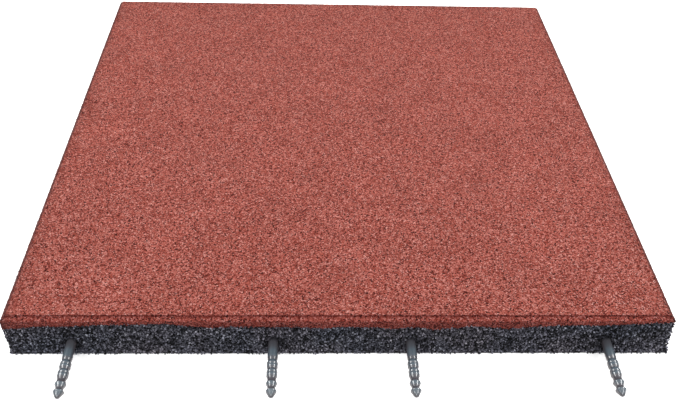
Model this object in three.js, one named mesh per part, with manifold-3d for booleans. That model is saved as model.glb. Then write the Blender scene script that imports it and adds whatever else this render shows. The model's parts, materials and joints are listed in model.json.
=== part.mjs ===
import * as THREE from 'three';
import { mergeVertices } from 'three/addons/utils/BufferGeometryUtils.js';
import Module from 'manifold-3d';

// Rubber safety tile: a red wear layer bonded to a black granulate base, with four plastic dowels
// standing out of the front edge and four open dowel holes in the back edge.
// Millimetres, +Z up, +X to the right, +Y to the back.
// The origin is the middle of the tile's underside. The dowels point toward -Y.

const wasm = await Module();
wasm.setup();

// Tile
const tileWidth = 500;
const tileDepth = 500;
const tileThickness = 40;
const rimStep = 1; // small upright step at the edge of the top face, above the bevel
const bevelWidth = 3.7; // bevel around the top face, measured across
const bevelDrop = 3.7; // from the top face down to the bevel's outer edge, with the step

// Line between the two layers: a mean level and slow waves across X, as the granulate was levelled
const wearThickness = 8.6;
const jointWaves = [
  { rise: 1.9, length: 500, crest: -213 },
  { rise: 1.0, length: 167, crest: 23 },
  { rise: 0.8, length: 125, crest: -31 },
];
const jointSteps = 46; // straight steps that the wavy line is drawn with

// Dowels: stations are counted from the middle of the dowel, which lies in the tile's front face
const innerDowelX = 52;
const outerDowelInset = 47.5; // from the tile's side edge
const dowelHeight = 12; // axis above the underside
const dowelLength = 98;
const shaftDiameter = 7.6;
const plainHalfLength = 14.4; // plain shaft, on each side of the middle
const neckDiameter = 6.7;
const firstRibStation = 20.3;
const ribPitch = 7.8;
const ribDiameter = 8.4;
const ribFootWidth = 5.4;
const ribCrownWidth = 3;
const barbDiameter = 8.4;
const barbCrownWidth = 1.2;
const barbRise = 2.3; // length of the barb's slope on the side of the tile
const headStation = 42.2; // rim of the pointed head
const headDiameter = 8;
const headNeckDiameter = 6;
const headNeckGap = 2.2; // from the rim of the head back to its neck
const tipRadius = 1.6;
const dowelSides = 20;

// Dowel holes
const dowelClearance = 0.3; // around the widest rib
const holeEndClearance = 2;
const holeSides = 24;

const cutMargin = 10; // how far a cutting body runs past what it cuts

const wearRubber = new THREE.MeshStandardMaterial({
  color: 0xa65f56,
  roughness: 0.92,
  metalness: 0,
  flatShading: true,
});
const baseRubber = new THREE.MeshStandardMaterial({
  color: 0x36343a,
  roughness: 0.85,
  metalness: 0,
  flatShading: true,
});
const dowelPlastic = new THREE.MeshStandardMaterial({
  color: 0x66717b,
  roughness: 0.35,
  metalness: 0,
});

const group = new THREE.Group();
group.name = 'rubber_safety_tile';

const outerDowelX = tileWidth / 2 - outerDowelInset;
const dowelXs = [-outerDowelX, -innerDowelX, innerDowelX, outerDowelX];
const dowelNames = ['dowel_outer_left', 'dowel_inner_left', 'dowel_inner_right', 'dowel_outer_right'];
const frontY = -tileDepth / 2;
const backY = tileDepth / 2;

// Boolean helpers

function toSolid(geometry) {
  const bare = geometry.clone();
  bare.deleteAttribute('normal');
  bare.deleteAttribute('uv');
  const merged = mergeVertices(bare, 1e-4);
  return new wasm.Manifold(
    new wasm.Mesh({
      numProp: 3,
      vertProperties: new Float32Array(merged.attributes.position.array),
      triVerts: new Uint32Array(merged.index.array),
    }),
  );
}

function toGeometry(solid) {
  const mesh = solid.getMesh();
  const geometry = new THREE.BufferGeometry();
  geometry.setAttribute('position', new THREE.BufferAttribute(mesh.vertProperties, 3));
  geometry.setIndex(new THREE.BufferAttribute(mesh.triVerts, 1));
  return geometry;
}

// An outline in X and Z, extruded along Y from yLow to yHigh
function prismAlongY(outline, yLow, yHigh) {
  const geometry = new THREE.ExtrudeGeometry(new THREE.Shape(outline), {
    depth: yHigh - yLow,
    bevelEnabled: false,
  });
  geometry.rotateX(Math.PI / 2);
  geometry.translate(0, yHigh, 0);
  return geometry;
}

// An outline in Y and Z, extruded along X from xLow to xHigh
function prismAlongX(outline, xLow, xHigh) {
  const geometry = new THREE.ExtrudeGeometry(new THREE.Shape(outline), {
    depth: xHigh - xLow,
    bevelEnabled: false,
  });
  geometry.rotateX(Math.PI / 2);
  geometry.rotateZ(Math.PI / 2);
  geometry.translate(xLow, 0, 0);
  return geometry;
}

// Tile block, with the step and the bevel around its top face

function bevelledOutline(halfSpan) {
  return [
    new THREE.Vector2(-halfSpan, 0),
    new THREE.Vector2(halfSpan, 0),
    new THREE.Vector2(halfSpan, tileThickness - bevelDrop),
    new THREE.Vector2(halfSpan - bevelWidth, tileThickness - rimStep),
    new THREE.Vector2(halfSpan - bevelWidth, tileThickness),
    new THREE.Vector2(-halfSpan + bevelWidth, tileThickness),
    new THREE.Vector2(-halfSpan + bevelWidth, tileThickness - rimStep),
    new THREE.Vector2(-halfSpan, tileThickness - bevelDrop),
  ];
}

function makeBlock() {
  const acrossX = bevelledOutline(tileWidth / 2);
  const acrossY = bevelledOutline(tileDepth / 2);
  const alongY = toSolid(prismAlongY(acrossX, frontY - cutMargin, backY + cutMargin));
  const alongX = toSolid(prismAlongX(acrossY, -tileWidth / 2 - cutMargin, tileWidth / 2 + cutMargin));
  return alongY.intersect(alongX);
}

// Everything under the wavy line between the layers

function jointHeight(x) {
  let height = tileThickness - wearThickness;
  for (const wave of jointWaves) {
    height += wave.rise * Math.cos((2 * Math.PI * (x - wave.crest)) / wave.length);
  }
  return height;
}

function makeUnderJoint() {
  const reach = tileWidth / 2 + cutMargin;
  const outline = [new THREE.Vector2(-reach, -cutMargin), new THREE.Vector2(reach, -cutMargin)];
  for (let step = 0; step <= jointSteps; step += 1) {
    const x = reach - (2 * reach * step) / jointSteps;
    outline.push(new THREE.Vector2(x, jointHeight(x)));
  }
  return toSolid(prismAlongY(outline, frontY - cutMargin, backY + cutMargin));
}

// Dowel holes, four in the front edge and four in the back edge

const widestDiameter = Math.max(shaftDiameter, ribDiameter, barbDiameter, headDiameter);
const holeRadius = widestDiameter / 2 + dowelClearance;
const holeDepth = dowelLength / 2 + holeEndClearance;

function makeHole(x, side) {
  const length = holeDepth + cutMargin;
  const geometry = new THREE.CylinderGeometry(holeRadius, holeRadius, length, holeSides);
  const faceY = side * (tileDepth / 2);
  geometry.translate(x, faceY - side * (holeDepth - length / 2), dowelHeight);
  return toSolid(geometry);
}

// Dowel: the same ribs, barb and pointed head on both halves, turned about its own axis

function makeHalfProfile() {
  const points = [];
  const add = (station, diameter) => points.push(new THREE.Vector2(diameter / 2, station));
  const addRib = (station, diameter) => {
    const footDiameter = (neckDiameter + diameter) / 2;
    add(station - ribFootWidth / 2, footDiameter);
    add(station - ribCrownWidth / 2, diameter);
    add(station + ribCrownWidth / 2, diameter);
    add(station + ribFootWidth / 2, footDiameter);
  };
  const barbStation = firstRibStation + 2 * ribPitch;
  const barbStart = barbStation - barbCrownWidth / 2;
  const headNeckStation = headStation - headNeckGap;
  const tipStation = dowelLength / 2;

  add(plainHalfLength, shaftDiameter);
  add(firstRibStation - ribPitch / 2, neckDiameter);
  addRib(firstRibStation, ribDiameter);
  add(firstRibStation + ribPitch / 2, neckDiameter);
  addRib(firstRibStation + ribPitch, ribDiameter);
  add(firstRibStation + 1.5 * ribPitch, neckDiameter);
  add(barbStart - barbRise, neckDiameter);
  add(barbStart, barbDiameter);
  add(barbStart + barbCrownWidth, barbDiameter);
  add(headNeckStation, headNeckDiameter);
  add(headStation - headNeckGap / 4, headDiameter);
  add(headStation + headNeckGap / 4, headDiameter);

  // rounded tip: an arc about a point on the axis, which the cone's side runs into
  const tipCentre = tipStation - tipRadius;
  for (const degrees of [20, 45, 70]) {
    const angle = THREE.MathUtils.degToRad(degrees);
    add(tipCentre + tipRadius * Math.sin(angle), 2 * tipRadius * Math.cos(angle));
  }
  points.push(new THREE.Vector2(0, tipStation));
  return points;
}

function makeDowel() {
  const half = makeHalfProfile();
  const mirrored = half.map((point) => new THREE.Vector2(point.x, -point.y)).reverse();
  return new THREE.LatheGeometry([...mirrored, ...half], dowelSides);
}

// Build

const block = makeBlock();
const underJoint = makeUnderJoint();
const wearLayer = block.subtract(underJoint);
let baseLayer = block.intersect(underJoint);
for (const x of dowelXs) {
  for (const side of [-1, 1]) {
    baseLayer = baseLayer.subtract(makeHole(x, side));
  }
}

const wearMesh = new THREE.Mesh(toGeometry(wearLayer), wearRubber);
wearMesh.name = 'wear_layer';
group.add(wearMesh);

const baseMesh = new THREE.Mesh(toGeometry(baseLayer), baseRubber);
baseMesh.name = 'base_layer';
group.add(baseMesh);

dowelXs.forEach((x, index) => {
  const dowel = new THREE.Mesh(makeDowel(), dowelPlastic.clone());
  dowel.name = dowelNames[index];
  dowel.position.set(x, frontY, dowelHeight);
  group.add(dowel);
});

export default group;
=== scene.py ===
import json
import math
import random

import bpy
from mathutils import Matrix, Vector

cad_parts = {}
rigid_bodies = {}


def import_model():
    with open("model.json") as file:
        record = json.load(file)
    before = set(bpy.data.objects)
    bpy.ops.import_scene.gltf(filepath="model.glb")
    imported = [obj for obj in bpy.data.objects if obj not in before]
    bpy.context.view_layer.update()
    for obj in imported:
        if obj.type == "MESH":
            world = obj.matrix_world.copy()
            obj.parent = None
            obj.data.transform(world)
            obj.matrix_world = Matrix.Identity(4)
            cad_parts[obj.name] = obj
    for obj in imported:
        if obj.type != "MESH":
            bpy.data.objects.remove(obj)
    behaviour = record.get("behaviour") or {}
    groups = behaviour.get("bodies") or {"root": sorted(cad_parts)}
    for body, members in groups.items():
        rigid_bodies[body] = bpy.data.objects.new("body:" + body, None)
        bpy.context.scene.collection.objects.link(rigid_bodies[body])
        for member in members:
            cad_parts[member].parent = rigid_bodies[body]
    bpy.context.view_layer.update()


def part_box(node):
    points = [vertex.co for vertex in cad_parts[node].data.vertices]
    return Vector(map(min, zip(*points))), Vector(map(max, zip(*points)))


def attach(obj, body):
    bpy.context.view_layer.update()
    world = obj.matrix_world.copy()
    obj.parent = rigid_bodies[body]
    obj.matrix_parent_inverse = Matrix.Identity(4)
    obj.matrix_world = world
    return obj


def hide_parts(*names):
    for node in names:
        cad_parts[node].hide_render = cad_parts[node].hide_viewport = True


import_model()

mm = 0.001

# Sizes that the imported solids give: everything below is placed by them
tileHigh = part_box("base_layer")[1]
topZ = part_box("wear_layer")[1].z
halfWidth = tileHigh.x
halfDepth = tileHigh.y
dowelNodes = ("dowel_outer_left", "dowel_inner_left", "dowel_inner_right", "dowel_outer_right")
dowelPlaces = []  # x and z of each dowel's axis
for name in dowelNodes:
    low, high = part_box(name)
    dowelPlaces.append(((low.x + high.x) / 2, (low.z + high.z) / 2))


# Selection and editing

def clearSelection():
    if bpy.context.object and bpy.context.object.mode != "OBJECT":
        bpy.ops.object.mode_set(mode="OBJECT")
    bpy.ops.object.select_all(action="DESELECT")


def makeActive(piece):
    clearSelection()
    piece.select_set(True)
    bpy.context.view_layer.objects.active = piece


def namePiece(name):
    piece = bpy.context.object
    piece.name = name
    piece.data.name = name
    return piece


def startEditing(piece, selectMode="EDGE"):
    makeActive(piece)
    bpy.ops.object.mode_set(mode="EDIT")
    bpy.ops.mesh.select_mode(type=selectMode)


def stopEditing():
    bpy.ops.object.mode_set(mode="OBJECT")


def selectNothing():
    bpy.ops.mesh.select_all(action="DESELECT")


# Selects the edges whose two end points pass the test, and stays in edit mode
def selectEdges(piece, test):
    startEditing(piece)
    selectNothing()
    stopEditing()
    points = piece.data.vertices
    for edge in piece.data.edges:
        edge.select = test(points[edge.vertices[0]].co, points[edge.vertices[1]].co)
    startEditing(piece)


def selectRim():
    selectNothing()
    bpy.ops.mesh.select_non_manifold(use_wire=False, use_boundary=True)


# Adds one row of faces round the selected square ring, which ends lower and at a new half width
def addRow(drop, fromHalf, toHalf):
    grow = toHalf / fromHalf
    bpy.ops.mesh.extrude_region_move(TRANSFORM_OT_translate={"value": (0, 0, -drop)})
    bpy.ops.transform.resize(value=(grow, grow, 1), center_override=(0, 0, 0))


def fixNormals(piece):
    startEditing(piece)
    bpy.ops.mesh.select_all(action="SELECT")
    bpy.ops.mesh.normals_make_consistent(inside=False)
    stopEditing()


def applyModifiers(piece):
    makeActive(piece)
    for modifier in list(piece.modifiers):
        bpy.ops.object.modifier_apply(modifier=modifier.name)


def setMaterial(piece, material):
    piece.data.materials.clear()
    piece.data.materials.append(material)


# Nodes

# Turns an sRGB hex colour into the linear one that Blender's nodes take
def linearColour(hexCode):
    shares = [int(hexCode[i:i + 2], 16) / 255 for i in (1, 3, 5)]
    return [s / 12.92 if s <= 0.04045 else ((s + 0.055) / 1.055) ** 2.4 for s in shares] + [1.0]


# Adds a node: options are its settings, and inputs are values or outputs to link, by name or place
def addNode(tree, kind, options=None, inputs=None):
    node = tree.nodes.new(kind)
    for name, value in (options or {}).items():
        setattr(node, name, value)
    sockets = [socket for socket in node.inputs if socket.enabled]
    for key, value in (inputs or {}).items():
        socket = sockets[key] if isinstance(key, int) else [s for s in sockets if s.name == key][0]
        if isinstance(value, bpy.types.Node):
            value = [output for output in value.outputs if output.enabled][0]
        if isinstance(value, bpy.types.NodeSocket):
            tree.links.new(value, socket)
        else:
            socket.default_value = value
    return node


def setStops(ramp, stops):
    elements = ramp.color_ramp.elements
    for number, (place, hexCode) in enumerate(stops):
        element = elements[number] if number < 2 else elements.new(place)
        element.position = place
        element.color = linearColour(hexCode)


# Tone along a line: a float curve through pairs of place in mm and amount, over a value in metres
def addCurve(tree, value, pairs):
    low, high = pairs[0][0], pairs[-1][0]
    level = addNode(tree, "ShaderNodeMapRange", inputs={
        "Value": value, "From Min": low * mm, "From Max": high * mm})
    curve = addNode(tree, "ShaderNodeFloatCurve", inputs={"Value": level})
    curve.mapping.use_clip = False
    line = curve.mapping.curves[0]
    while len(line.points) < len(pairs):
        line.points.new(0.5, 0.5)
    for point, (place, amount) in zip(line.points, pairs):
        point.location = ((place - low) / (high - low), amount)
        point.handle_type = "VECTOR"
    curve.mapping.update()
    return curve


def newGeometryTree(name):
    tree = bpy.data.node_groups.new(name, "GeometryNodeTree")
    tree.interface.new_socket(name="Geometry", in_out="INPUT", socket_type="NodeSocketGeometry")
    tree.interface.new_socket(name="Geometry", in_out="OUTPUT", socket_type="NodeSocketGeometry")
    return tree


def applyGeometryTree(piece, tree):
    modifier = piece.modifiers.new(tree.name, "NODES")
    modifier.node_group = tree
    applyModifiers(piece)


def newMaterial(name):
    material = bpy.data.materials.new(name)
    material.use_nodes = True
    material.node_tree.nodes.clear()
    return material, material.node_tree


# The line between the two layers wanders up and down across the tile. These are its bends along the front
# edge: distance from the middle and height, in mm.
jointLine = (
    (-252, 28), (-242, 28.5), (-224, 30.9), (-200, 31), (-180, 32.7), (-160, 33), (-131, 34),
    (-110, 30.8), (-96, 29.6), (-85, 31), (-61, 30.7), (-31, 30.1), (-14, 28.8), (-2, 30.4), (22, 30.2),
    (40, 27.9), (52, 30.7), (70, 27.5), (82, 29.2), (100, 31), (124, 28.3), (148, 31), (178, 32.6),
    (196, 31.9), (220, 33.6), (238, 35.3), (252, 35.6),
)


def jointHeight(x):
    for (left, low), (right, high) in zip(jointLine, jointLine[1:]):
        if x <= right * mm:
            break
    share = (x / mm - left) / (right - left)
    return (low + (high - low) * share) * mm


# Rubber materials

redCrumb = {
    # mm from grain to grain: real crumb is 1 to 3 mm, and this is as fine as its speckle in the photograph
    "grain": 0.88,
    "tones": (
        (0.0, "#160302"), (0.08, "#360b07"), (0.2, "#5e2018"), (0.4, "#77372d"), (0.6, "#86473c"),
        (0.8, "#91554d"), (0.93, "#9c6760"), (1.0, "#a87c75"),
    ),
    "gap": "#2a0905",
    "gapWidth": 0.07,  # share of a grain
    "clump": 38,  # mm, slow change of tone
    "roughness": 0.7,
    "specular": 0.08,
    "bumps": 0.3 * mm,
    # painted shade by the height in mm: dark in the small step round the walking face, and darker on the
    # bevel and the side below it
    "heights": (
        (30, 0.54), (35.9, 0.65), (36.5, 0.83), (37.5, 0.79), (38.1, 0.68), (38.6, 0.43), (38.95, 0.45),
        (39.2, 0.88), (39.4, 1.0),
    ),
    # painted shade along the left, right and back edges, by the distance in mm from the middle
    "edges": ((0, 1), (222, 1), (238, 0.96), (244.5, 0.87), (246.2, 0.72), (247.5, 0.58), (252, 0.56)),
    "shadeTone": 0.35,  # at this tone of painted shade the red is painted deepest
    "shadeGreenBlue": 0.62,  # what is left of its green and blue there
    "warmth": 1.03,
}

blackCrumb = {
    "grain": 2.0,  # mm, as real tyre crumb
    "tones": (
        (0.0, "#050506"), (0.15, "#1a1a1d"), (0.35, "#38383f"), (0.5, "#474750"), (0.7, "#56565f"),
        (0.9, "#676771"), (1.0, "#81828a"),
    ),
    "gap": "#060607",
    "gapWidth": 0.16,
    "clump": 45,
    "roughness": 0.5,
    "specular": 0.05,
    "bumps": 0.5 * mm,
    "footShadeHigh": 5 * mm,  # painted shade at the foot reaches up to here
    "footShadeTone": 0.72,
    "holeRim": 5 * mm,  # from a dowel hole's axis, where the crumb is darkest, with dirt and painted shade
    "holeUndimmed": 11 * mm,
    "holeTone": 0.45,
    "bluish": (0.95, 0.99, 1.03, 1),
    "brownish": (1.06, 0.99, 0.97, 1),
    "drift": (0.35, 0.65),  # of the slow noise, from one to the other
}

# What the crumb materials share. Tones multiply the colour, and heights are shares of the bumps.
crumbFinish = {
    "noise": (0.3, 0.7),  # nearly all of a noise lies between these
    "clumpTones": (0.93, 1.07),
    "mottle": 2.2,  # spots along one grain
    "mottleTones": (0.8, 1.2),
    "mottleHigh": 0.4,
    "roundEdge": 0.35,  # share of a grain
    "stepHigh": 0.7,  # from one grain to the next
    "looseBumps": 0.3,  # a loose grain has a shape of its own, and needs less
    "sunk": 1.1 * mm,  # painted shade: this far inside the tile's side a loose grain is painted nearly black
    "proud": 0.3 * mm,  # and this far outside it is painted palest
    "sunkShadeTones": (0.04, 1.12),
}


# Darkens the crumb round each dowel hole: partly dirt where the dowels were pushed in, partly painted shade
# round the dowel roots. The holes lie alike on both halves of the tile, so folding X twice gives the distance
# to the nearest one.
def darkenRoundHoles(tree, split, factor):
    outer, inner = dowelPlaces[3][0], dowelPlaces[2][0]
    half = addNode(tree, "ShaderNodeMath", {"operation": "ABSOLUTE"}, {0: split.outputs["X"]})
    folded = addNode(tree, "ShaderNodeMath", {"operation": "SUBTRACT"}, {0: half, 1: (outer + inner) / 2})
    quarter = addNode(tree, "ShaderNodeMath", {"operation": "ABSOLUTE"}, {0: folded})
    beside = addNode(tree, "ShaderNodeMath", {"operation": "SUBTRACT"}, {0: quarter, 1: (outer - inner) / 2})
    above = addNode(tree, "ShaderNodeMath", {"operation": "SUBTRACT"}, {
        0: split.outputs["Z"], 1: dowelPlaces[0][1]})
    away = addNode(tree, "ShaderNodeCombineXYZ", inputs={"X": beside, "Y": above})
    reach = addNode(tree, "ShaderNodeVectorMath", {"operation": "LENGTH"}, {"Vector": away})
    undimmed = addNode(tree, "ShaderNodeMapRange", inputs={
        "Value": reach.outputs["Value"], "From Min": blackCrumb["holeRim"],
        "From Max": blackCrumb["holeUndimmed"], "To Min": blackCrumb["holeTone"]})
    return addNode(tree, "ShaderNodeMath", {"operation": "MULTIPLY"}, {0: factor, 1: undimmed})


# Black crumb gets painted shade at the foot, and is darker round the dowel holes with dirt and painted shade.
# It comes from tyres of several makes, so it drifts between a bluish and a brownish black.
def paintBlackShadeAndTint(tree, split, slow, factor):
    # painted shade at the foot
    foot = addNode(tree, "ShaderNodeMapRange", inputs={
        "Value": split.outputs["Z"], "From Max": blackCrumb["footShadeHigh"], "To Min": blackCrumb["footShadeTone"]})
    holeDarkened = darkenRoundHoles(tree, split, factor)
    factor = addNode(tree, "ShaderNodeMath", {"operation": "MULTIPLY"}, {0: holeDarkened, 1: foot})
    drift = addNode(tree, "ShaderNodeMapRange", inputs={
        "Value": slow, "From Min": blackCrumb["drift"][0], "From Max": blackCrumb["drift"][1]})
    tint = addNode(tree, "ShaderNodeMix", {"data_type": "RGBA"}, {
        "Factor": drift, "A": blackCrumb["bluish"], "B": blackCrumb["brownish"]})
    return factor, tint


# Painted shade on the red crumb: dark in the small step, darker on the bevel and side and along the left,
# right and back edges, and a deeper red where this painted shade is darkest
def paintRedShade(tree, split, factor):
    # painted shade by height
    shade = addCurve(tree, split.outputs["Z"], redCrumb["heights"])
    # painted shade along the left, right and back edges
    across = addNode(tree, "ShaderNodeMath", {"operation": "ABSOLUTE"}, {0: split.outputs["X"]})
    outmost = addNode(tree, "ShaderNodeMath", {"operation": "MAXIMUM"}, {0: across, 1: split.outputs["Y"]})
    edgeShade = addCurve(tree, outmost, redCrumb["edges"])
    for tone in (shade, edgeShade):
        factor = addNode(tree, "ShaderNodeMath", {"operation": "MULTIPLY"}, {0: factor, 1: tone})
    # the painted shade is also painted a deeper red
    shadeDeepening = addNode(tree, "ShaderNodeMapRange", inputs={
        "Value": shade, "From Min": redCrumb["shadeTone"], "To Min": redCrumb["shadeGreenBlue"]})
    tint = addNode(tree, "ShaderNodeCombineXYZ", inputs={"X": redCrumb["warmth"], "Y": shadeDeepening, "Z": shadeDeepening})
    return factor, tint


# Painted shade between loose grains: a grain is painted dark where it sinks in among its neighbours, and
# paler where it stands out
def paintSunkShade(tree, split, factor):
    acrossX = addNode(tree, "ShaderNodeMath", {"operation": "ABSOLUTE"}, {0: split.outputs["X"]})
    acrossY = addNode(tree, "ShaderNodeMath", {"operation": "ABSOLUTE"}, {0: split.outputs["Y"]})
    outward = addNode(tree, "ShaderNodeMath", {"operation": "MAXIMUM"}, {0: acrossX, 1: acrossY})
    darkest, palest = crumbFinish["sunkShadeTones"]
    # painted shade by how deep the grain sits
    sunk = addNode(tree, "ShaderNodeMapRange", inputs={
        "Value": outward, "From Min": halfWidth - crumbFinish["sunk"],
        "From Max": halfWidth + crumbFinish["proud"], "To Min": darkest, "To Max": palest})
    return addNode(tree, "ShaderNodeMath", {"operation": "MULTIPLY"}, {0: factor, 1: sunk})


# The crumb's own colours, picked by a number from 0 to 1
def addTones(tree, look, number):
    ramp = addNode(tree, "ShaderNodeValToRGB", inputs={"Fac": number})
    setStops(ramp, look["tones"])
    return ramp


# The grains of a solid surface: each has its own tone and height, a rounded edge and a dark gap round it
def addGrains(tree, look, place, scale, fine):
    cells = addNode(tree, "ShaderNodeTexVoronoi", inputs={"Vector": place, "Scale": scale})
    pick = addNode(tree, "ShaderNodeSeparateXYZ", inputs={"Vector": cells.outputs["Color"]})
    edges = addNode(tree, "ShaderNodeTexVoronoi", {"feature": "DISTANCE_TO_EDGE"}, {
        "Vector": place, "Scale": scale})
    body = addNode(tree, "ShaderNodeMapRange", inputs={"Value": edges, "From Max": look["gapWidth"]})
    colour = addNode(tree, "ShaderNodeMix", {"data_type": "RGBA"}, {
        "Factor": body, "A": linearColour(look["gap"]), "B": addTones(tree, look, pick.outputs["X"])})
    dome = addNode(tree, "ShaderNodeMapRange", inputs={"Value": edges, "From Max": crumbFinish["roundEdge"]})
    stand = addNode(tree, "ShaderNodeMath", {"operation": "MULTIPLY_ADD"}, {
        0: pick.outputs["Y"], 1: crumbFinish["stepHigh"], 2: dome})
    height = addNode(tree, "ShaderNodeMath", {"operation": "MULTIPLY_ADD"}, {
        0: fine, 1: crumbFinish["mottleHigh"], 2: stand})
    return colour, height


# Rubber crumb pressed with a clear binder: dull grains of many tones that face all ways, with dark gaps
# between them. A solid surface gets its grains from the pattern, and loose grains bring a tone each.
def makeCrumb(name, look, loose):
    material, tree = newMaterial(name)
    place = addNode(tree, "ShaderNodeTexCoord").outputs["Object"]
    split = addNode(tree, "ShaderNodeSeparateXYZ", inputs={"Vector": place})
    scale = 1000 / look["grain"]
    fine = addNode(tree, "ShaderNodeTexNoise", inputs={
        "Vector": place, "Scale": crumbFinish["mottle"] * scale, "Detail": 2})
    slow = addNode(tree, "ShaderNodeTexNoise", inputs={
        "Vector": place, "Scale": 1000 / look["clump"], "Detail": 3})
    low, high = crumbFinish["noise"]
    tones = []
    for noise, (dark, pale) in ((slow, crumbFinish["clumpTones"]), (fine, crumbFinish["mottleTones"])):
        tones.append(addNode(tree, "ShaderNodeMapRange", inputs={
            "Value": noise, "From Min": low, "From Max": high, "To Min": dark, "To Max": pale}))
    factor = addNode(tree, "ShaderNodeMath", {"operation": "MULTIPLY"}, {0: tones[0], 1: tones[1]})
    if loose:
        own = addNode(tree, "ShaderNodeAttribute", {"attribute_name": "grainTone"})
        colour, height = addTones(tree, look, own.outputs["Fac"]), fine
        # painted shade between the loose grains
        factor = paintSunkShade(tree, split, factor)
    else:
        colour, height = addGrains(tree, look, place, scale, fine)
    # painted shade on both crumbs, partly dirt round the dowel holes, and a drift of tint on the black
    if look is redCrumb:
        factor, tint = paintRedShade(tree, split, factor)
    else:
        factor, tint = paintBlackShadeAndTint(tree, split, slow, factor)
    toned = addNode(tree, "ShaderNodeVectorMath", {"operation": "SCALE"}, {"Vector": colour, "Scale": factor})
    tinted = addNode(tree, "ShaderNodeVectorMath", {"operation": "MULTIPLY"}, {0: toned, 1: tint})
    bumps = look["bumps"] * (crumbFinish["looseBumps"] if loose else 1.0)
    bump = addNode(tree, "ShaderNodeBump", inputs={"Strength": 1.0, "Distance": bumps, "Height": height})
    shader = addNode(tree, "ShaderNodeBsdfPrincipled", inputs={
        "Base Color": tinted, "Roughness": look["roughness"], "Specular IOR Level": look["specular"],
        "Normal": bump})
    addNode(tree, "ShaderNodeOutputMaterial", inputs={"Surface": shader})
    return material


dowelPlastic = {
    "colour": "#3c474f",
    "shade": "#323b42",
    # dark colour of the painted shade, and of the rubber dust at the hole
    "dustAndShade": "#241c21",
    "refraction": 1.52,
    "roughness": 0.4,
    "dimmedRoughness": 0.7,
    "polish": 0.85,  # of a glossier skin over it
    "polishRoughness": 0.13,
    "flow": 9,  # mm, cloudy flow marks
    "skin": 0.5,  # mm, orange peel
    "skinHigh": 0.05 * mm,
    "skinStrength": 0.1,
    "ragged": 1.2 * mm,  # how far the edges of the painted shade wander
    "flankHigh": 3.3 * mm,  # above the axis: no painted flank shade from here up
    "flankLow": 0.4 * mm,  # and darkest painted shade from here down
    "flankUndimmed": 0.1,
    # how undimmed it is, by the distance in mm from the tile's face: painted shade and painted dark
    # reflections in the grooves and behind the ribs and barbs, and painted shade with some rubber dust at the
    # hole
    "undimmed": (
        (-52, 0.5), (2, 0.25), (6, 0.4), (9.5, 0.95), (14.4, 1.0), (15.6, 0.35), (17.6, 0.3),
        (18.8, 1.0), (20.4, 1.0), (21, 0.4), (21.8, 1.0), (23.6, 1.0), (24.4, 0.3), (26.0, 0.4),
        (27, 1.0), (28.4, 1.0), (28.9, 0.4), (29.6, 1.0), (31.4, 0.95), (32.8, 0.3), (37.3, 0.15),
        (38.2, 1.0), (40.0, 1.0), (41.2, 0.35), (44.3, 0.1), (45.1, 1.0), (50, 1.0),
    ),
}


# Injection-moulded polyethylene in blue-grey: smooth and glossy, with faint cloudy flow marks, and a dark
# colour painted in as shade at the hole (where there is also rubber dust), in the grooves, behind the ribs
# and barbs and on the flanks and underside
def makeDowelPlastic():
    look = dowelPlastic
    material, tree = newMaterial("mouldedPolyethylene")
    place = addNode(tree, "ShaderNodeTexCoord").outputs["Object"]
    clouds = addNode(tree, "ShaderNodeTexNoise", inputs={
        "Vector": place, "Scale": 1000 / look["flow"], "Detail": 3})
    colour = addNode(tree, "ShaderNodeMix", {"data_type": "RGBA"}, {
        "Factor": clouds, "A": linearColour(look["shade"]), "B": linearColour(look["colour"])})
    split = addNode(tree, "ShaderNodeSeparateXYZ", inputs={"Vector": place})
    along, rise = split.outputs["Y"], split.outputs["Z"]
    station = addNode(tree, "ShaderNodeMath", {"operation": "SUBTRACT"}, {0: -halfDepth, 1: along})
    ragged = addNode(tree, "ShaderNodeMath", {"operation": "MULTIPLY_ADD"}, {
        0: clouds, 1: look["ragged"], 2: station})
    # painted shade and painted dark reflections along the dowel
    undimmed = addCurve(tree, ragged, look["undimmed"])
    # more painted shade on the flanks and underneath
    axisZ = dowelPlaces[0][1]
    level = addNode(tree, "ShaderNodeMapRange", {"interpolation_type": "SMOOTHSTEP"}, {
        "Value": rise, "From Min": axisZ + look["flankLow"], "From Max": axisZ + look["flankHigh"],
        "To Min": look["flankUndimmed"]})
    upper = addNode(tree, "ShaderNodeMath", {"operation": "MULTIPLY"}, {0: undimmed, 1: level})
    toned = addNode(tree, "ShaderNodeMix", {"data_type": "RGBA"}, {
        "Factor": upper, "A": linearColour(look["dustAndShade"]), "B": colour})
    skin = addNode(tree, "ShaderNodeTexNoise", inputs={
        "Vector": place, "Scale": 1000 / look["skin"], "Detail": 1})
    bump = addNode(tree, "ShaderNodeBump", inputs={
        "Strength": look["skinStrength"], "Distance": look["skinHigh"], "Height": skin})
    gloss = addNode(tree, "ShaderNodeMapRange", inputs={
        "Value": undimmed, "To Min": look["dimmedRoughness"], "To Max": look["roughness"]})
    shader = addNode(tree, "ShaderNodeBsdfPrincipled", inputs={
        "Base Color": toned, "Roughness": gloss, "Normal": bump, "IOR": look["refraction"],
        "Coat Weight": look["polish"], "Coat Roughness": look["polishRoughness"]})
    addNode(tree, "ShaderNodeOutputMaterial", inputs={"Surface": shader})
    return material


# Slabs

# The map sheet of a slab, in shares of the sheet
slabMap = {
    "middle": 0.49,  # of the wide face
    "margin": 2.06,  # width of the sheet over what lies to one side of its middle
    "hiddenPlace": 0.985,
    "hiddenSize": 0.02,
    "holePlace": (0.97, 0.01),
    "holeSize": 0.02,
}


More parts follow.
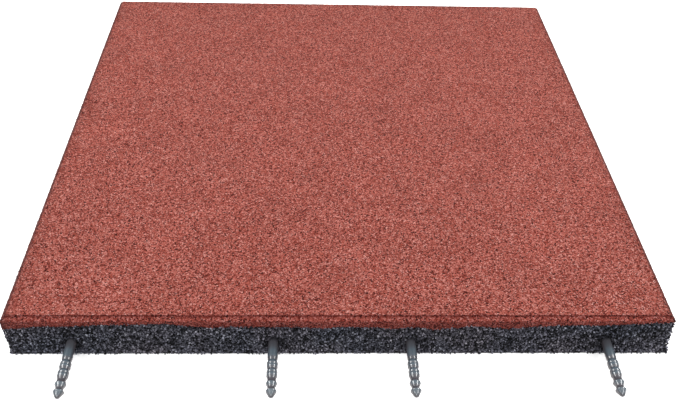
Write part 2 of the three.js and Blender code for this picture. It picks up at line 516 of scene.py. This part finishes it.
# Lays a slab's surface out flat on its own map: the wide face in the middle and its sides unrolled round it.
# The hidden inner face gets a small corner.
def layOutMap(piece, face, widest, sideRoom, hiddenUp):
    data = piece.data
    layer = data.uv_layers[0]
    layer.name = "OFBake"
    hiddenAt, small = slabMap["hiddenPlace"], slabMap["hiddenSize"]
    span = slabMap["margin"] * (widest + sideRoom)
    edgeZ = 0 if hiddenUp else topZ
    for polygon in data.polygons:
        hidden = (polygon.normal.z > 0.7) == hiddenUp and abs(polygon.normal.z) > 0.7
        for loop in polygon.loop_indices:
            co = data.vertices[data.loops[loop].vertex_index].co
            if hidden:
                layer.uv[loop].vector = (hiddenAt + small * co.x, hiddenAt + small * co.y)
                continue
            ring = max(abs(co.x), abs(co.y))
            unrolled = ring + abs(co.z - edgeZ) * (1 if ring > face - 0.1 * mm else 0)
            grow = unrolled / ring if ring > 0 else 1
            layer.uv[loop].vector = [slabMap["middle"] + grow * across / span for across in (co.x, co.y)]


# Presses pits into a crumb surface, shallow where it faces up or down and deeper on its sides
def addPits(piece, flatDepth, sideDepth, crumb):
    gain = 3  # the product of the two patterns is about 0.3 on average
    tree = newGeometryTree(piece.name + "Pits")
    start = addNode(tree, "NodeGroupInput")
    normal = addNode(tree, "GeometryNodeInputNormal")
    where = addNode(tree, "GeometryNodeInputPosition")
    cells = addNode(tree, "ShaderNodeTexVoronoi", inputs={"Vector": where, "Scale": 1 / crumb})
    fine = addNode(tree, "ShaderNodeTexNoise", inputs={"Vector": where, "Scale": 2 / crumb, "Detail": 2})
    depth = addNode(tree, "ShaderNodeMath", {"operation": "MULTIPLY"}, {0: cells, 1: fine})
    split = addNode(tree, "ShaderNodeSeparateXYZ", inputs={"Vector": normal})
    level = addNode(tree, "ShaderNodeMath", {"operation": "ABSOLUTE"}, {0: split.outputs["Z"]})
    most = addNode(tree, "ShaderNodeMapRange", inputs={
        "Value": level, "To Min": -gain * sideDepth, "To Max": -gain * flatDepth})
    amount = addNode(tree, "ShaderNodeMath", {"operation": "MULTIPLY"}, {0: depth, 1: most})
    shift = addNode(tree, "ShaderNodeVectorMath", {"operation": "SCALE"}, {"Vector": normal, "Scale": amount})
    moved = addNode(tree, "GeometryNodeSetPosition", inputs={"Geometry": start, "Offset": shift})
    addNode(tree, "NodeGroupOutput", inputs={"Geometry": moved})
    applyGeometryTree(piece, tree)


# A slab as wide as the tile: a fine grid for its wide face, rows of faces round the rim, a side that ends on
# the line between the layers, and a plain hidden face there
def makeSlab(name, cell, faceZ, rows, side, sideRows, sideDrop):
    touching = 0.01 * mm
    rimWidth = 8 * mm  # row of faces round the hidden face
    face = rows[0][0]
    cells = round(2 * face / cell)
    clearSelection()
    bpy.ops.mesh.primitive_grid_add(
        x_subdivisions=cells, y_subdivisions=cells, size=2 * face, location=(0, 0, faceZ))
    bpy.ops.object.transform_apply(location=True, rotation=True, scale=True)
    piece = namePiece(name)
    startEditing(piece)
    selectRim()
    half, level = rows[0]
    for newHalf, newLevel in rows[1:]:
        addRow(level - newLevel, half, newHalf)
        half, level = newHalf, newLevel
    addRow(sideDrop, half, half)
    stopEditing()
    end = level - sideDrop
    for point in piece.data.vertices:
        if abs(point.co.z - end) < touching:
            point.co.z = jointHeight(point.co.x)

    def runsDownSide(a, b):
        upright = abs(a.x - b.x) + abs(a.y - b.y) < 0.1 * touching and abs(a.z - b.z) > 5 * touching
        return (upright and min(abs(a.z - level), abs(b.z - level)) < touching
                and min(abs(a.z - jointHeight(a.x)), abs(b.z - jointHeight(b.x))) < touching)

    selectEdges(piece, runsDownSide)
    bpy.ops.mesh.subdivide(number_cuts=sideRows - 1)
    selectRim()
    addRow(0, side, side - rimWidth)
    bpy.ops.mesh.fill()
    stopEditing()
    fixNormals(piece)
    return piece


# The granulate was filled in fuller at the front right corner, where the base stands out a few millimetres at
# the foot
cornerFill = {"out": 3.2 * mm, "alongX": 30 * mm, "alongY": 45 * mm, "high": 33 * mm}


def fillCorner(piece):
    for point in piece.data.vertices:
        nearX = min(1, max(0, (point.co.x - halfWidth) / cornerFill["alongX"] + 1))
        nearY = min(1, max(0, (-halfDepth - point.co.y) / cornerFill["alongY"] + 1))
        low = max(0, 1 - point.co.z / cornerFill["high"])
        point.co.x += cornerFill["out"] * nearX ** 2 * nearY ** 2 * low


# Wear layer: the fine walking face, the small step and hollow bevel round it, and the red side

wearLayer = {
    "cell": 1.75 * mm,
    # from the walking face outward, in mm: distance inside the tile's side, and drop below the face
    "rim": (
        (3.85, 0), (3.72, 0.12), (3.62, 1.0), (2.75, 1.55), (1.95, 2.1), (1.1, 2.65), (0.35, 3.2), (0, 3.9),
    ),
    "sideRows": 4,
    "sideDrop": 3 * mm,  # before the side's lower edge is moved to the line between the layers
    "sideRoom": 16 * mm,  # on its map, for the unrolled rim and side
    "topPits": 0.28 * mm,
    "sidePits": 0.4 * mm,
    "crumb": 2.2 * mm,
}


def makeWearLayer(material):
    rows = [(halfWidth - inside * mm, topZ - drop * mm) for inside, drop in wearLayer["rim"]]
    piece = makeSlab("wearCrumb", wearLayer["cell"], topZ, rows, halfWidth, wearLayer["sideRows"],
                     wearLayer["sideDrop"])
    layOutMap(piece, rows[0][0], halfWidth, wearLayer["sideRoom"], False)
    addPits(piece, wearLayer["topPits"], wearLayer["sidePits"], wearLayer["crumb"])
    setMaterial(piece, material)
    print("wear layer:", len(piece.data.polygons), "faces")
    return piece


# Base layer: a body set in a little on all sides, with the dowel holes, which loose grains then cover

baseLayer = {
    "cell": 3.0 * mm,
    "setBack": 1.5 * mm,
    "footOut": 0.3 * mm,  # the lowest crumb is squeezed out past the side
    "footBevel": 0.5 * mm,
    "footHigh": 5 * mm,
    "sideRows": 11,
    "sideDrop": -20 * mm,
    "sideRoom": 40 * mm,
    "holeRadius": 4.5 * mm,
    "holeDepth": 51 * mm,
    "holeSides": 40,
    "holeOverrun": 10 * mm,
    "pits": 0.3 * mm,
    "crumb": 3.2 * mm,
}


def makeBaseLayer(material):
    side = halfWidth - baseLayer["setBack"]
    foot = halfWidth + baseLayer["footOut"]
    bevel = baseLayer["footBevel"]
    rows = [(foot - bevel, 0), (foot, bevel), (foot, 3 * bevel), (side, baseLayer["footHigh"])]
    piece = makeSlab("baseBody", baseLayer["cell"], 0, rows, side, baseLayer["sideRows"],
                     baseLayer["sideDrop"])
    layOutMap(piece, foot - bevel, foot, baseLayer["sideRoom"], True)
    addPits(piece, baseLayer["pits"], baseLayer["pits"], baseLayer["crumb"])
    drillHoles(piece)
    fillCorner(piece)
    setMaterial(piece, material)
    print("base body:", len(piece.data.polygons), "faces")
    return piece


def drillHoles(piece):
    length = baseLayer["holeDepth"] + baseLayer["holeOverrun"]
    for x, z in dowelPlaces:
        for side in (-1, 1):
            middle = side * (halfDepth - baseLayer["holeDepth"] + length / 2)
            clearSelection()
            bpy.ops.mesh.primitive_cylinder_add(
                vertices=baseLayer["holeSides"], radius=baseLayer["holeRadius"], depth=length,
                location=(x, middle, z), rotation=(math.pi / 2, 0, 0))
            drill = namePiece("drill")
            drill.data.uv_layers[0].name = "OFBake"
            for spot in drill.data.uv_layers[0].uv:
                spot.vector = spot.vector * slabMap["holeSize"] + Vector(slabMap["holePlace"])
            cut = piece.modifiers.new("hole", "BOOLEAN")
            cut.operation = "DIFFERENCE"
            cut.object = drill
            applyModifiers(piece)
            bpy.data.objects.remove(drill)


# Loose grains: black ones cover the four sides of the base layer, and smaller red ones the sides above it

blackGrains = {
    "gap": 1.5 * mm,  # least distance between the middles of two grains
    "small": (1.1 * mm, 1.1 * mm, 1.1 * mm),
    "large": (2.9 * mm, 2.1 * mm, 1.9 * mm),
    "sunk": 0.75 * mm,  # middles of the grains, inside the tile's side
    "stagger": 0.45 * mm,  # in or out from there
    "proud": 0.5 * mm,  # furthest reach past the tile's side
    "flare": 0.9 * mm,  # further out at the foot
    "low": 0.2 * mm,
    "ragged": 1.1 * mm,  # up or down from the line between the layers
    "cells": 70,  # grains are laid out on their map in this many rows
}

# The left and right sides are pressed a little closer
sideGrains = dict(blackGrains, gap=1.3 * mm, stagger=0.12 * mm, cells=76)

redGrains = {
    "gap": 1.25 * mm,
    "small": (0.9 * mm, 0.9 * mm, 0.9 * mm),
    "large": (2.1 * mm, 1.7 * mm, 1.5 * mm),
    "sunk": 0.55 * mm,
    "stagger": 0.2 * mm,
    "proud": 0.3 * mm,
    "flare": 0,
    "high": 35.9 * mm,
    "raggedDown": 1.0 * mm,
    "raggedUp": 0.4 * mm,
    "cells": 84,
    "seed": 47,
}

# Black covers: side, grains and seed
blackCovers = (
    ("Front", blackGrains, 3),
    ("Back", blackGrains, 11),
    ("Left", sideGrains, 23),
    ("Right", sideGrains, 31),
)

strewing = {
    "stripCells": (280, 16),
    "holeGap": 0.9 * mm,  # free of grains round a dowel hole
    "flareShare": 0.15,  # of the side's height, where the strip flares at its foot
    "flareHigh": 5 * mm,  # and where the mould's wall does
    "crowd": 1.5,  # spots tried per square of one gap
    "turn": (6.283, 6.283, 6.283),  # radians, any way round
    "jagged": 0.17,  # of a grain's width
    "shapeSeeds": (1, 2, 3, 4),
    "mapInset": 0.05,  # of a grain's square on the map
}

tileSides = {"Front": ("X", -1), "Back": ("X", 1), "Left": ("Y", -1), "Right": ("Y", 1)}


def makeGrainShapes():
    shapes = []
    for seed in strewing["shapeSeeds"]:
        clearSelection()
        bpy.ops.mesh.primitive_ico_sphere_add(subdivisions=1, radius=0.5, location=(0, 0, 0))
        shape = namePiece("grainShape")
        startEditing(shape, "VERT")
        bpy.ops.mesh.select_all(action="SELECT")
        bpy.ops.transform.vertex_random(offset=strewing["jagged"], seed=seed)
        stopEditing()
        shapes.append(shape)
    return shapes


# A strip just inside one side of the tile, which grains are strewn on. It leaves the dowel holes free.
def makeStrip(name, side, look, lowAt, highAt):
    along, sign = tileSides[side]
    inside = halfWidth - look["sunk"]
    columns, rows = strewing["stripCells"]
    clearSelection()
    bpy.ops.mesh.primitive_grid_add(x_subdivisions=columns, y_subdivisions=rows, size=2, location=(0, 0, 0))
    strip = namePiece(name)
    for point in strip.data.vertices:
        share = (point.co.y + 1) / 2
        out = inside + look["flare"] * max(0, 1 - share / strewing["flareShare"])
        run = point.co.x * out
        x, y = (run, sign * out) if along == "X" else (sign * out, run)
        point.co = (x, y, lowAt(x) * (1 - share) + highAt(x) * share)
    if along == "X":
        clear = baseLayer["holeRadius"] + strewing["holeGap"]
        startEditing(strip, "FACE")
        selectNothing()
        stopEditing()
        for face in strip.data.polygons:
            middle = face.center
            face.select = min(math.hypot(middle.x - x, middle.z - z) for x, z in dowelPlaces) < clear
        startEditing(strip, "FACE")
        bpy.ops.mesh.delete(type="FACE")
        stopEditing()
    return strip


# Gives each grain its own small square on the map, in rows
def addGrainMap(tree, look, grains):
    grain = addNode(tree, "GeometryNodeInputNamedAttribute", {"data_type": "FLOAT"}, {"Name": "grainNumber"})
    column = addNode(tree, "ShaderNodeMath", {"operation": "MODULO"}, {0: grain, 1: look["cells"]})
    share = addNode(tree, "ShaderNodeMath", {"operation": "DIVIDE"}, {0: grain, 1: look["cells"]})
    row = addNode(tree, "ShaderNodeMath", {"operation": "FLOOR"}, {0: share})
    square = addNode(tree, "ShaderNodeCombineXYZ", inputs={"X": column, "Y": row})
    ownMap = addNode(tree, "GeometryNodeInputNamedAttribute", {"data_type": "FLOAT_VECTOR"}, {
        "Name": "UVMap"})
    edge = strewing["mapInset"]
    inset = addNode(tree, "ShaderNodeVectorMath", {"operation": "MULTIPLY_ADD"}, {
        0: ownMap, 1: (1 - 2 * edge, 1 - 2 * edge, 0), 2: (edge, edge, 0)})
    placed = addNode(tree, "ShaderNodeVectorMath", {"operation": "ADD"}, {0: inset, 1: square})
    scaled = addNode(tree, "ShaderNodeVectorMath", {"operation": "SCALE"}, {
        "Vector": placed, "Scale": 1 / look["cells"]})
    return addNode(tree, "GeometryNodeStoreNamedAttribute", {"data_type": "FLOAT2", "domain": "CORNER"}, {
        "Geometry": grains, "Name": "OFBake", "Value": scaled})


# No grain passes the mould's walls or goes below the floor
def addMouldWalls(tree, look, grains):
    where = addNode(tree, "GeometryNodeInputPosition")
    height = addNode(tree, "ShaderNodeSeparateXYZ", inputs={"Vector": where}).outputs["Z"]
    reach = halfWidth + look["proud"]
    wall = addNode(tree, "ShaderNodeMapRange", inputs={
        "Value": height, "From Max": strewing["flareHigh"], "To Min": reach + look["flare"], "To Max": reach})
    outer = addNode(tree, "ShaderNodeCombineXYZ", inputs={"X": wall, "Y": wall, "Z": 1.0})
    inner = addNode(tree, "ShaderNodeVectorMath", {"operation": "MULTIPLY"}, {0: outer, 1: (-1, -1, 0)})
    upper = addNode(tree, "ShaderNodeVectorMath", {"operation": "MINIMUM"}, {0: where, 1: outer})
    kept = addNode(tree, "ShaderNodeVectorMath", {"operation": "MAXIMUM"}, {0: upper, 1: inner})
    return addNode(tree, "GeometryNodeSetPosition", inputs={"Geometry": grains, "Position": kept})


def strewGrains(strip, look, seed, shapes, material):
    name = strip.name
    tree = newGeometryTree(name + "Strewn")
    start = addNode(tree, "NodeGroupInput")
    spots = addNode(tree, "GeometryNodeDistributePointsOnFaces", {"distribute_method": "POISSON"}, {
        "Mesh": start, "Distance Min": look["gap"], "Density Max": strewing["crowd"] / look["gap"] ** 2,
        "Seed": seed})
    kinds = addNode(tree, "GeometryNodeJoinGeometry")
    for shape in shapes:
        kind = addNode(tree, "GeometryNodeObjectInfo", inputs={"Object": shape, "As Instance": True})
        tree.links.new(kind.outputs["Geometry"], kinds.inputs["Geometry"])
    stagger = addNode(tree, "FunctionNodeRandomValue", {"data_type": "FLOAT"}, {
        "Min": -look["stagger"], "Max": look["stagger"], "Seed": seed + 5})
    inward = addNode(tree, "ShaderNodeVectorMath", {"operation": "SCALE"}, {
        "Vector": spots.outputs["Normal"], "Scale": stagger})
    uneven = addNode(tree, "GeometryNodeSetPosition", inputs={"Geometry": spots, "Offset": inward})
    turn = addNode(tree, "FunctionNodeRandomValue", {"data_type": "FLOAT_VECTOR"}, {
        "Max": strewing["turn"], "Seed": seed + 1})
    size = addNode(tree, "FunctionNodeRandomValue", {"data_type": "FLOAT_VECTOR"}, {
        "Min": look["small"], "Max": look["large"], "Seed": seed + 2})
    pick = addNode(tree, "FunctionNodeRandomValue", {"data_type": "INT"}, {
        "Min": 0, "Max": len(shapes) - 1, "Seed": seed + 3})
    tone = addNode(tree, "FunctionNodeRandomValue", {"data_type": "FLOAT"}, {"Seed": seed + 4})
    grains = addNode(tree, "GeometryNodeInstanceOnPoints", inputs={
        "Points": uneven, "Instance": kinds, "Pick Instance": True, "Instance Index": pick,
        "Rotation": turn, "Scale": size})
    number = addNode(tree, "GeometryNodeInputIndex")
    for label, value in (("grainTone", tone), ("grainNumber", number)):
        grains = addNode(
            tree, "GeometryNodeStoreNamedAttribute", {"data_type": "FLOAT", "domain": "INSTANCE"},
            {"Geometry": grains, "Name": label, "Value": value})
    loose = addNode(tree, "GeometryNodeRealizeInstances", inputs={"Geometry": grains})
    moved = addMouldWalls(tree, look, addGrainMap(tree, look, loose))
    addNode(tree, "NodeGroupOutput", inputs={"Geometry": moved})
    applyGeometryTree(strip, tree)
    fillCorner(strip)
    setMaterial(strip, material)
    print(name + ":", len(strip.data.polygons), "faces")
    return strip


def makeBlackCover(side, look, seed, shapes, material):
    chance = random.Random(seed)
    ragged = look["ragged"]
    heights = {}

    def highAt(x):
        key = round(x / mm)
        if key not in heights:
            heights[key] = chance.uniform(-ragged, ragged)
        return jointHeight(x) + heights[key]

    strip = makeStrip("grains" + side, side, look, lambda x: look["low"], highAt)
    return strewGrains(strip, look, seed, shapes, material)


def makeRedCover(shapes, material):
    seed = redGrains["seed"]
    chance = random.Random(seed)

    def lowAt(x):
        return jointHeight(x) + chance.uniform(-redGrains["raggedDown"], redGrains["raggedUp"])

    def highAt(x):
        return redGrains["high"]

    strips = [makeStrip("redGrains", side, redGrains, lowAt, highAt) for side in tileSides]
    clearSelection()
    for strip in strips:
        strip.select_set(True)
    bpy.context.view_layer.objects.active = strips[0]
    bpy.ops.object.join()
    return strewGrains(strips[0], redGrains, seed, shapes, material)


# Dowels: one profile, drawn point by point and spun about the dowel's axis

dowel = {
    "steps": 56,
    "leans": (-0.9, 0.0, 0.2, 1.8),  # degrees that each free half leans in its soft hole
    # distance from the middle of the dowel and radius, in mm, on the half that stands out of the tile
    "outline": (
        (0, 3.8), (13.4, 3.8), (15.0, 3.78), (15.8, 3.66), (16.4, 3.45), (16.9, 3.32), (17.4, 3.4),
        (18.1, 3.72), (18.8, 4.02), (19.4, 4.17), (19.9, 4.2), (20.4, 4.12), (20.8, 3.9), (21.1, 3.75),
        (21.4, 3.9), (21.8, 4.12), (22.3, 4.2), (22.8, 4.16), (23.4, 4.0), (24.0, 3.72), (24.6, 3.42),
        (25.0, 3.34), (25.4, 3.42), (26.0, 3.72), (26.6, 4.0), (27.1, 4.15), (27.6, 4.18), (28.1, 4.1),
        (28.5, 3.9), (28.8, 3.75), (29.1, 3.9), (29.5, 4.1), (30.0, 4.18), (30.6, 4.14), (31.4, 3.94),
        (32.2, 3.6), (32.9, 3.38), (33.7, 3.3), (34.6, 3.34), (35.5, 3.5), (36.4, 3.78), (37.1, 4.1),
        (37.6, 4.25), (38.0, 4.2), (38.7, 3.82), (39.6, 3.38), (40.6, 3.06), (41.4, 3.0), (42.2, 3.08),
        (43.0, 3.4), (43.7, 3.85), (44.1, 4.12), (44.5, 4.1), (45.0, 3.8), (46.1, 3.16), (47.2, 2.66),
        (48.1, 2.2), (48.8, 1.74), (49.3, 1.2), (49.58, 0.6), (49.65, 0),
    ),
}


def makeDowel(name, x, z, lean, material):
    outline = dowel["outline"]
    whole = [(-along, radius) for along, radius in reversed(outline[1:])] + list(outline)
    clearSelection()
    bpy.ops.mesh.primitive_plane_add(size=1 * mm, location=(0, 0, 0))
    piece = namePiece(name)
    startEditing(piece, "VERT")
    bpy.ops.mesh.select_all(action="SELECT")
    bpy.ops.mesh.merge(type="CENTER")
    along, radius = whole[0]
    bpy.ops.transform.translate(value=(x + radius * mm, -halfDepth + along * mm, z))
    for nextAlong, nextRadius in whole[1:]:
        step = ((nextRadius - radius) * mm, (nextAlong - along) * mm, 0)
        bpy.ops.mesh.extrude_region_move(TRANSFORM_OT_translate={"value": step})
        along, radius = nextAlong, nextRadius
    bpy.ops.mesh.select_all(action="SELECT")
    bpy.ops.mesh.spin(
        steps=dowel["steps"], angle=2 * math.pi, center=(x, -halfDepth, z), axis=(0, 1, 0))
    bpy.ops.mesh.select_all(action="SELECT")
    bpy.ops.mesh.remove_doubles(threshold=0.01 * mm)
    bpy.ops.mesh.normals_make_consistent(inside=False)
    selectNothing()
    stopEditing()
    for point in piece.data.vertices:
        point.select = point.co.y < -halfDepth - 1 * mm
    startEditing(piece, "VERT")
    bpy.ops.transform.rotate(value=math.radians(lean), orient_axis="Z", center_override=(x, -halfDepth, z))
    stopEditing()
    bpy.ops.object.shade_smooth()
    setMaterial(piece, material)
    return piece


# Room: a pale floor, a long strip light on each side that glints on the dowels, soft fill, and the camera

room = {
    "floor": "#e8e8e8",
    "floorSize": 12,
    "floorDrop": 0.2 * mm,
    "floorRoughness": 0.9,
    "floorGlow": 0.18,  # lifts it to the white of the photograph's background
    "sky": 0.36,
    "fillPower": 2.2,
    "fillAngle": 0.5,
    "stripPlace": (0.95, 0, 1.0),
    "stripLength": 1.3,
    "stripWidth": 0.35,
    "stripPower": 26,
    "cameraPlace": (-26.7 * mm, -655.93 * mm, 497.24 * mm),
    "cameraYaw": 0.0514,  # radians to the right of straight ahead
    "cameraPitch": 0.7026,  # below the horizon
    "cameraRoll": 0.0387,
    "focalPixels": 825.157,
    "frameWidth": 680,
    "sensor": 36,
}


def makeFloor():
    clearSelection()
    bpy.ops.mesh.primitive_grid_add(
        x_subdivisions=8, y_subdivisions=8, size=room["floorSize"], location=(0, 0, -room["floorDrop"]))
    bpy.ops.object.transform_apply(location=True, rotation=True, scale=True)
    floor = namePiece("paleFloor")
    material, tree = newMaterial("paleBoard")
    shader = addNode(tree, "ShaderNodeBsdfPrincipled", inputs={
        "Base Color": linearColour(room["floor"]), "Roughness": room["floorRoughness"],
        "Emission Color": (1, 1, 1, 1), "Emission Strength": room["floorGlow"]})
    addNode(tree, "ShaderNodeOutputMaterial", inputs={"Surface": shader})
    setMaterial(floor, material)


def makeSky():
    world = bpy.data.worlds.new("studioSky")
    bpy.context.scene.world = world
    world.use_nodes = True
    tree = world.node_tree
    tree.nodes.clear()
    light = addNode(tree, "ShaderNodeBackground", inputs={"Color": (1, 1, 1, 1), "Strength": room["sky"]})
    addNode(tree, "ShaderNodeOutputWorld", inputs={"Surface": light})


def addLamp(name, kind, place, target, power):
    light = bpy.data.lights.new(name, kind)
    light.energy = power
    lamp = bpy.data.objects.new(name, light)
    bpy.context.scene.collection.objects.link(lamp)
    lamp.location = place
    lamp.rotation_euler = (Vector(place) - Vector(target)).to_track_quat("Z", "Y").to_euler()
    return light


def makeLights():
    fill = addLamp("frontFill", "SUN", (0, -0.8, 1.0), (0, 0, 0), room["fillPower"])
    fill.angle = room["fillAngle"]
    x, y, z = room["stripPlace"]
    for name, side in (("leftStrip", -1), ("rightStrip", 1)):
        strip = addLamp(name, "AREA", (side * x, y, z), (0, y, 0), room["stripPower"])
        strip.shape = "RECTANGLE"
        strip.size = room["stripLength"]
        strip.size_y = room["stripWidth"]


def makeCamera():
    camera = bpy.data.objects.new("camera", bpy.data.cameras.new("camera"))
    bpy.context.scene.collection.objects.link(camera)
    camera.location = room["cameraPlace"]
    turned = Matrix.Rotation(-room["cameraYaw"], 3, "Z")
    tipped = Matrix.Rotation(math.pi / 2 - room["cameraPitch"], 3, "X")
    rolled = Matrix.Rotation(room["cameraRoll"], 3, "Z")
    camera.rotation_euler = (turned @ tipped @ rolled).to_euler()
    camera.data.sensor_fit = "HORIZONTAL"
    camera.data.sensor_width = room["sensor"]
    camera.data.lens = room["focalPixels"] * room["sensor"] / room["frameWidth"]
    camera.data.clip_start = 0.01
    bpy.context.scene.camera = camera


# Build

makeCamera()
makeFloor()
makeSky()
makeLights()
bpy.context.scene.view_settings.view_transform = "Standard"
print("room ready")

pressedRed = makeCrumb("pressedRedCrumb", redCrumb, False)
looseRed = makeCrumb("looseRedCrumb", redCrumb, True)
pressedBlack = makeCrumb("pressedTyreCrumb", blackCrumb, False)
looseBlack = makeCrumb("looseTyreCrumb", blackCrumb, True)
greyPlastic = makeDowelPlastic()
print("materials ready")

wearPiece = makeWearLayer(pressedRed)
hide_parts("wear_layer")
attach(wearPiece, "root")

basePiece = makeBaseLayer(pressedBlack)
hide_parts("base_layer")
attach(basePiece, "root")

grainShapes = makeGrainShapes()
for side, look, seed in blackCovers:
    cover = makeBlackCover(side, look, seed, grainShapes, looseBlack)
    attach(cover, "root")
redCover = makeRedCover(grainShapes, looseRed)
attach(redCover, "root")
for shape in grainShapes:
    bpy.data.objects.remove(shape)

for node, (x, z), lean in zip(dowelNodes, dowelPlaces, dowel["leans"]):
    pin = makeDowel(node + "Turned", x, z, lean, greyPlastic)
    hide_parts(node)
    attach(pin, "root")
print("dowels ready")

clearSelection()
